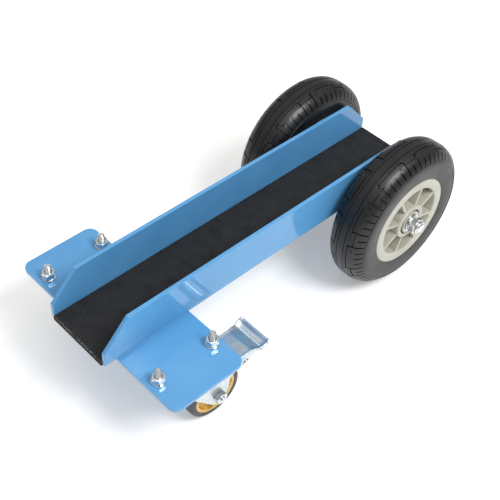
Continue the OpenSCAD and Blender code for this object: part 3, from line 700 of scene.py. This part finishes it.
def threaded_rod(radius, length, pitch, depth, tip, plain=0.0, around=26):
    """A rod along Z with a helical thread from the height plain up to its chamfered end."""
    mesh = bmesh.new()
    steps = 6
    rows = [0.0] + [plain + i * pitch / steps for i in range(int((length - plain) / pitch * steps))]
    rows.append(length)
    grid = []
    for z in rows:
        ring = []
        for k in range(around):
            phase = ((z - plain) / pitch - k / around) % 1
            cut = depth * abs(2 * phase - 1) * min(1, max(0, (z - plain) / pitch))
            r = min(radius - cut, radius - tip + (length - z))
            turn = 2 * math.pi * k / around
            ring.append(mesh.verts.new((r * math.cos(turn), r * math.sin(turn), z)))
        grid.append(ring)
    skin(mesh, grid)
    cap(mesh, grid)
    return mesh


def spring_washer(outer, inner, height, rise, gap=12, steps=48):
    """A ring split at one place, with its ends still sprung a little apart."""
    mesh = bmesh.new()
    edge = 0.25 * MM
    section = [(inner, edge), (inner + edge, 0), (outer - edge, 0), (outer, edge),
               (outer, height - edge), (outer - edge, height), (inner + edge, height), (inner, height - edge)]
    rings = []
    for i in range(steps + 1):
        turn = math.radians(gap / 2 + (360 - gap) * i / steps)
        lift = rise * i / steps
        rings.append([mesh.verts.new((r * math.cos(turn), r * math.sin(turn), z + lift)) for r, z in section])
    skin(mesh, rings)
    cap(mesh, rings)
    return mesh


def several(maker, spots):
    """The same part at several places, each given as (x, y, z, turn about Z in degrees)."""
    return joined(*[(maker(), Matrix.Translation(spot[:3]) @ turned_about("Z", spot[3])) for spot in spots])


bolt_r = 5 * MM
bolt_pitch = 1.5 * MM
bolt_across = 17 * MM
head_height = 6.4 * MM
bolt_nut_height = 8 * MM
bolt_low, bolt_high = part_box("plate_bolts")
head_top = bolt_low.z + head_height
plate_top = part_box("castor_plate")[1].z
washer_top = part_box("plate_washers")[1].z
spring_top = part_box("plate_spring_washers")[1].z
# How far each bolt happens to be turned, in degrees
turns = (14, 37, 8, 49)


def bolt():
    shank = threaded_rod(bolt_r, bolt_high.z - head_top, bolt_pitch, 0.8 * MM, 1.8 * MM, plain=10 * MM)
    return joined((hexagon(bolt_across, head_height), up(-head_height)), (shank, up(0)))


def flat_washer():
    return flat_ring(10 * MM, 5.5 * MM, 2 * MM, 0.35 * MM)


def split_washer():
    return spring_washer(8.6 * MM, 5.25 * MM, 2.1 * MM, 0.4 * MM)


def bolt_nut():
    return hexagon(bolt_across, bolt_nut_height, bolt_r)


for name, maker, node, base, first, share, crease in (
        ("castor_bolts", bolt, "plate_bolts", head_top, 0, 1, 35),
        ("flat_washers", flat_washer, "plate_washers", plate_top, 0, 0, 45),
        ("split_washers", split_washer, "plate_spring_washers", washer_top, 200, 3, 45),
        ("hexagon_nuts", bolt_nut, "plate_nuts", spring_top, 0, 2, 35)):
    spots = [(x, y, base, first + share * turn) for (x, y), turn in zip(bolt_spots, turns)]
    make_piece(name, several(maker, spots), zinc_plate, "chassis", [node], crease=crease)

# ---------- Castor swivels and forks ----------
# The swivel is a bolted plate with two rings of balls under it, closed by a riveted kingpin.
# The fork is pressed from 3 mm steel into a U that trails behind it, and zinc plated.
HEADING = {"right": 0, "left": -15}
fork_sheet = 3 * MM
fork_half = 19 * MM
fork_bend = 5 * MM
trail = 44.7 * MM
wheel_z = 45 * MM
pivot = Vector((92.0 * MM, 84.0 * MM))


def at_castor(side):
    """A castor's own frame: Z up its swivel axis from the floor, with the wheel towards +X."""
    pin_low, pin_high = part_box(side + "_kingpin")
    centre = (pin_low + pin_high) / 2
    return Matrix.Translation((centre.x, centre.y, 0)) @ turned_about("Z", HEADING[side])


def shaped_by(mesh, tool, operation):
    """A mesh cut or trimmed by another."""
    objects = []
    for part in (mesh, tool):
        bmesh.ops.recalc_face_normals(part, faces=part.faces)
        data = bpy.data.meshes.new("shaping")
        part.to_mesh(data)
        part.free()
        objects.append(bpy.data.objects.new("shaping", data))
        bpy.context.scene.collection.objects.link(objects[-1])
    modifier = objects[0].modifiers.new("shaping", "BOOLEAN")
    modifier.operation = operation
    modifier.object = objects[1]
    modifier.solver = "EXACT"
    bpy.context.view_layer.update()
    result = bmesh.new()
    result.from_mesh(objects[0].evaluated_get(bpy.context.evaluated_depsgraph_get()).to_mesh())
    for used in objects:
        data = used.data
        bpy.data.objects.remove(used)
        bpy.data.meshes.remove(data)
    bmesh.ops.remove_doubles(result, verts=result.verts, dist=0.005 * MM)
    bmesh.ops.dissolve_limit(result, angle_limit=math.radians(0.5), verts=result.verts, edges=result.edges)
    return result


race_height = 4 * MM
crown_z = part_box("right_fork")[1].z - race_height
crown = crown_z / MM
# The fork's legs seen from the side, in millimetres: (x, z, corner radius)
LEG_VIEW = [(-26, crown + 5, 0), (-26, crown - 11, 3), (-4, 78, 14), (27, 41, 10), (34, 31.5, 9),
            (56, 31.5, 11), (64, 50, 14), (64.5, 71, 12), (88, 75.5, 7), (100.5, 79, 7), (97, 92, 6.5),
            (84, 92.5, 8), (61, 102, 5), (50, crown + 5, 0)]
# The lower race pressed into the crown, in millimetres: (radius, height)
RACE = [(12, 0), (25.2, 0), (26, 0.8), (26, 3.0), (25.3, 3.8), (24, 4), (12, 4)]


def fork_mesh():
    """A U section drawn along X and trimmed to the legs' side view."""
    leg_end = 25 * MM
    section = [(-fork_half, leg_end)]
    section += arc((-fork_half + fork_bend, crown_z - fork_bend), fork_bend, 180, 90, 6)
    section += arc((fork_half - fork_bend, crown_z - fork_bend), fork_bend, 90, 0, 6)
    section += [(fork_half, leg_end), (fork_half - fork_sheet, leg_end)]
    section += arc((fork_half - fork_bend, crown_z - fork_bend), fork_bend - fork_sheet, 0, 90, 4)
    section += arc((-fork_half + fork_bend, crown_z - fork_bend), fork_bend - fork_sheet, 90, 180, 4)
    section += [(-fork_half + fork_sheet, leg_end)]
    bent = prism(section, 150 * MM)
    bmesh.ops.transform(bent, matrix=Matrix.Translation((-40 * MM, 0, 0)) @ YZ_ALONG_X, verts=bent.verts)
    side_view = rounded_corners([(x * MM, z * MM, r * MM) for x, z, r in LEG_VIEW])
    tool = prism(side_view, 60 * MM)
    bmesh.ops.transform(tool, matrix=Matrix.Translation((0, 30 * MM, 0)) @ XZ_ALONG_Y, verts=tool.verts)
    return shaped_by(bent, tool, "INTERSECT")


for side in SIDES:
    fork = fork_mesh()
    round_edges(fork, 0.5 * MM, 2, 40)
    make_piece(side + "_fork_pressing", fork, pressed_zinc, side + "_swivel", [side + "_fork"],
               at_castor(side))
    race = turned([(r * MM, z * MM) for r, z in RACE])
    make_piece(side + "_swivel_race", race, pressed_zinc, side + "_swivel", [side + "_fork"],
               at_castor(side) @ up(crown_z))
    finish_node(side + "_top_plate", pressed_zinc)
    finish_node(side + "_kingpin", zinc_plate)
    for part in ("upper_balls", "lower_balls", "hub_bush"):
        finish_node(f"{side}_{part}", bearing_steel)

# ---------- Castor wheels ----------
# A grey rubber tread is bonded round a cast hub with a gold passivated finish.
# The hub has a raised rim, a thin web and a boss that turns on a plain steel bush.


def at_castor_axle(side):
    """Z along the castor wheel's axle, towards the dolly's right."""
    return at_castor(side) @ Matrix.Translation((trail, 0, wheel_z)) @ turned_about("X", 90)


def mirrored(points):
    """A section drawn for one face, closed by its mirror image."""
    return points + [(r, -z) for r, z in points[::-1]]


tread_section = mirrored([(r * MM, z * MM) for r, z in (
    (36, 12.6), (36.6, 13.0), (39.2, 13.0), (40.2, 12.95), (40.5, 12.6), (40.8, 12.9), (42.0, 12.2),
    (43.3, 11.2), (44.2, 9.7), (44.7, 7.8), (45.0, 5.0), (45.0, 0.5), (44.85, 0.2))])
hub_section = mirrored([(r * MM, z * MM) for r, z in (
    (7.5, 15.2), (8.0, 15.7), (11.2, 15.7), (11.9, 15.2), (12.3, 10.0), (13.4, 5.0), (15.5, 3.9),
    (22, 3.5), (27.5, 3.5), (29.6, 4.4), (30.6, 7.0), (31.1, 10.8), (31.7, 11.8), (32.6, 12.1),
    (35.2, 12.1), (36.0, 11.7))])

# Grey castor rubber: dull, with lighter patches of wear and a gritty skin.
castor_rubber, tree, shader, place = new_finish("grey_castor_rubber", 0.55, ior=1.52)
add_tint(tree, shader, noise(tree, place, 12 * MM, 7.0), [(0.3, "#3A3B3D"), (0.75, "#55565A")])
add_relief(tree, shader, place, 1.0 * MM, detail=3.0, strength=0.35, depth=0.1 * MM)

# Gold passivated casting: warm satin metal, with the fine skin of the casting under it.
gold_casting, tree, shader, place = new_finish("gold_passivated_casting", 0.38, metallic=0.75)
add_tint(tree, shader, noise(tree, place, 7 * MM, 5.0), [(0.3, "#CDA656"), (0.7, "#E8C87E")])
add_relief(tree, shader, place, 1.0 * MM, detail=3.0, strength=0.4, depth=0.1 * MM)
for side in SIDES:
    make_piece(side + "_castor_tread", turned(tread_section, 120), castor_rubber, side + "_castor_wheel",
               [side + "_tread"], at_castor_axle(side), crease=60, even=False)
    make_piece(side + "_castor_hub", turned(hub_section, 96), gold_casting, side + "_castor_wheel",
               [side + "_hub"], at_castor_axle(side), crease=60, even=False)

# ---------- Castor axle bolts ----------
# An M10 bolt clamps the fork's legs on the bush, with its nut on the dolly's right.
for side in SIDES:
    shank = threaded_rod(bolt_r, 49 * MM, bolt_pitch, 0.7 * MM, 1 * MM, plain=37 * MM)
    whole = joined((hexagon(bolt_across, head_height), up(-fork_half - head_height)), (shank, up(-fork_half)))
    make_piece(side + "_castor_axle_bolt", whole, zinc_plate, side + "_swivel",
               [side + "_castor_bolt"], at_castor_axle(side), crease=35)
    make_piece(side + "_castor_axle_nut", bolt_nut(), zinc_plate, side + "_swivel",
               [side + "_castor_nut"],
               at_castor_axle(side) @ up(fork_half) @ turned_about("Z", 11), crease=35)

# ---------- Brake pedals ----------
# The pedal is stamped from 2.2 mm steel: cheeks that hang on a pin through the fork, a dished
# web for the foot and a rolled toe. A tongue under it carries the rubber shoe.


def blend_values(x, table):
    """The value at x from a table of (x, value), joined by smooth steps."""
    for (x0, v0), (x1, v1) in zip(table, table[1:]):
        if x <= x1:
            t = min(1, max(0, (x - x0) / (x1 - x0)))
            return v0 + (v1 - v0) * t * t * (3 - 2 * t)
    return table[-1][1]


# Along the pedal from the pivot, in millimetres: the rim's height, the dish's depth, the half width,
# the half width at the cheeks, and the height of the cheeks' lower edge
RIM_HEIGHT = [(-30, 23.4), (6, 23.5), (13, 22.4), (23, 19.2), (30, 21.4), (35.5, 24.4), (37, 24.8)]
DISH = [(-30, 0.5), (4, 0.9), (14, 1.8), (24, 2.6), (33, 2.0), (37, 0.8)]
HALF_WIDTH = [(-30, 24.6), (6, 25.0), (16, 26.6), (28, 29.4), (34, 29.8), (37, 29.2)]
CHEEK = [(-30, 21.8), (9, 21.8), (22, 25.4), (30, 28.4), (37, 28.8)]
SKIRT = [(-30, 14.5), (-20, 9.0), (-9, 2.0), (-8, 0.0), (8, 0.0), (15, 9.0), (22, 12.6), (30, 15.6),
         (37, 20.4)]
# The radius of the cheeks' ears round the pin
EAR = 8.0
# The lip beyond the toe: how far along, how much lower, and the share of the width it keeps
TOE_LIP = ((37.9, 0.4, 0.985), (38.4, 1.4, 0.965), (38.6, 3.2, 0.95))
PEDAL_SHEET = 2.2 * MM
# In millimetres: the tongue as (y, z, corner radius), and one head of the pin as (radius, height)
TONGUE = [(-9, -25, 2), (9, -25, 2), (9, 21, 0), (-9, 21, 0)]
PIN_HEAD = [(0, -22.2), (0, -24.3), (2.4, -24.2), (4.2, -23.6), (5.0, -22.7), (5.0, -22.2), (3.0, -22.0)]


def pedal_mesh():
    """The outer skin of the stamping as a grid; its thickness is added inwards."""
    mesh = bmesh.new()
    grid = []
    for x in [-30, -29.4, -27] + [-25 + 2 * i for i in range(31)] + [36.2, 37]:
        top = blend_values(x, RIM_HEIGHT)
        dish = blend_values(x, DISH)
        half = blend_values(x, HALF_WIDTH)
        cheek = blend_values(x, CHEEK)
        low = blend_values(x, SKIRT)
        if abs(x) < EAR:
            low = -math.sqrt(EAR ** 2 - x ** 2)
        flare = top - 1.6 * (half - cheek) - 2.4
        across = [(-cheek, low), (-cheek, (low + flare) / 2), (-cheek, flare), (-half, top - 2.4)]
        for y, z in ((0.992, top - 1.1), (0.97, top - 0.3), (0.935, top), (0.9, top - 0.25),
                     (0.85, top - 0.5 * dish - 0.3), (0.76, top - 0.9 * dish), (0.52, top - dish),
                     (0.26, top - 1.06 * dish)):
            across.append((-y * half, z))
        across += [(0, top - 1.08 * dish)] + [(-y, z) for y, z in across[::-1]]
        grid.append([mesh.verts.new((x * MM, y * MM, z * MM)) for y, z in across])
    last = [v.co.copy() for v in grid[-1]]
    for along, drop, width in TOE_LIP:
        grid.append([mesh.verts.new((along * MM, width * co.y, max(co.z, last[0].z + 1.6 * MM) - drop * MM))
                     for co in last])
    for a, b in zip(grid, grid[1:]):
        for i in range(len(a) - 1):
            mesh.faces.new((a[i], a[i + 1], b[i + 1], b[i]))
    return mesh


def at_pivot(side):
    return at_castor(side) @ Matrix.Translation((pivot.x, 0, pivot.y))


for side in SIDES:
    pedal = make_piece(side + "_pedal_stamping", pedal_mesh(), pressed_zinc, side + "_brake",
                       [side + "_pedal"], at_pivot(side), crease=75, even=False)
    wall = pedal.modifiers.new("sheet", "SOLIDIFY")
    wall.thickness = PEDAL_SHEET
    wall.offset = -1
    smooth = pedal.modifiers.new("pressed", "SUBSURF")
    smooth.levels = 1
    smooth.render_levels = 1
    tongue = cut_sheet([rounded_corners([(y * MM, z * MM, r * MM) for y, z, r in TONGUE])],
                       3 * MM, 0.4 * MM)
    make_piece(side + "_pedal_tongue", tongue, pressed_zinc, side + "_brake", [side + "_pedal"],
               at_pivot(side) @ Matrix.Translation((4 * MM, 0, 0)) @ YZ_ALONG_X)
    section = [(r * MM, z * MM) for r, z in PIN_HEAD]
    pin = turned(section + [(r, -z) for r, z in section[::-1]], 40)
    make_piece(side + "_pedal_pin_rivet", pin, zinc_plate, side + "_swivel",
               [side + "_pedal_pin"], at_pivot(side) @ turned_about("X", 90), crease=35)
    finish_node(side + "_brake_shoe", castor_rubber)

# ---------- Floor, light and camera ----------
# White paper under two large soft boxes, and a camera above the dolly's front right corner.
scene = bpy.context.scene
scene.view_settings.view_transform = "Standard"

floor_mesh = bmesh.new()
bmesh.ops.create_grid(floor_mesh, x_segments=1, y_segments=1, size=30)
data = bpy.data.meshes.new("floor")
floor_mesh.to_mesh(data)
floor_mesh.free()
floor = bpy.data.objects.new("floor", data)
scene.collection.objects.link(floor)
# Matt white paper that glows a little, so that it stays white round the dolly
paper, tree, shader, place = new_finish("white_paper", 0.8)
shader.inputs["Base Color"].default_value = linear("#EDEDED")
shader.inputs["Specular IOR Level"].default_value = 0.1
shader.inputs["Emission Color"].default_value = linear("#FFFFFF")
shader.inputs["Emission Strength"].default_value = 0.25
data.materials.append(paper)

# The room: white overhead and dimmer near the horizon, which gives bare metal its dark edges
world = bpy.data.worlds.new("studio")
world.use_nodes = True
tree = world.node_tree
direction = add_node(tree, "SeparateXYZ", inputs={"Vector": add_node(tree, "TexCoord").outputs["Generated"]})
sky = colour_ramp(tree, direction.outputs["Z"], [(0.0, "#A09F9D"), (0.25, "#BDBCBA"), (0.7, "#F6F5F3")])
background = tree.nodes["Background"]
tree.links.new(sky, background.inputs["Color"])
background.inputs["Strength"].default_value = 0.75
scene.world = world


def soft_box(name, location, target, size, power):
    light = bpy.data.lights.new(name, "AREA")
    light.shape = "RECTANGLE"
    light.size, light.size_y = size
    light.energy = power
    holder = bpy.data.objects.new(name, light)
    holder.location = location
    holder.rotation_euler = (Vector(target) - Vector(location)).to_track_quat("-Z", "Y").to_euler()
    scene.collection.objects.link(holder)


# Places and sizes in metres, power in watts
dolly_middle = (0, 0, 0.1)
soft_box("overhead_box", (-0.5, -0.1, 2.4), dolly_middle, size=(1.6, 1.2), power=9)
soft_box("key_box", (0.15, -1.35, 2.0), dolly_middle, size=(0.9, 0.8), power=40)

camera_data = bpy.data.cameras.new("camera")
camera_data.sensor_width = 36
camera_data.lens = 68.3
camera = bpy.data.objects.new("camera", camera_data)
camera.location = (-0.7393, -0.6949, 1.1419)
aim = Vector((-0.0087, 0.0012, 0.1))
roll = math.radians(3.95)
camera.rotation_euler = ((aim - camera.location).to_track_quat("-Z", "Y").to_matrix()
                         @ Matrix.Rotation(roll, 3, "Z")).to_euler()
scene.collection.objects.link(camera)
scene.camera = camera

bpy.context.view_layer.update()
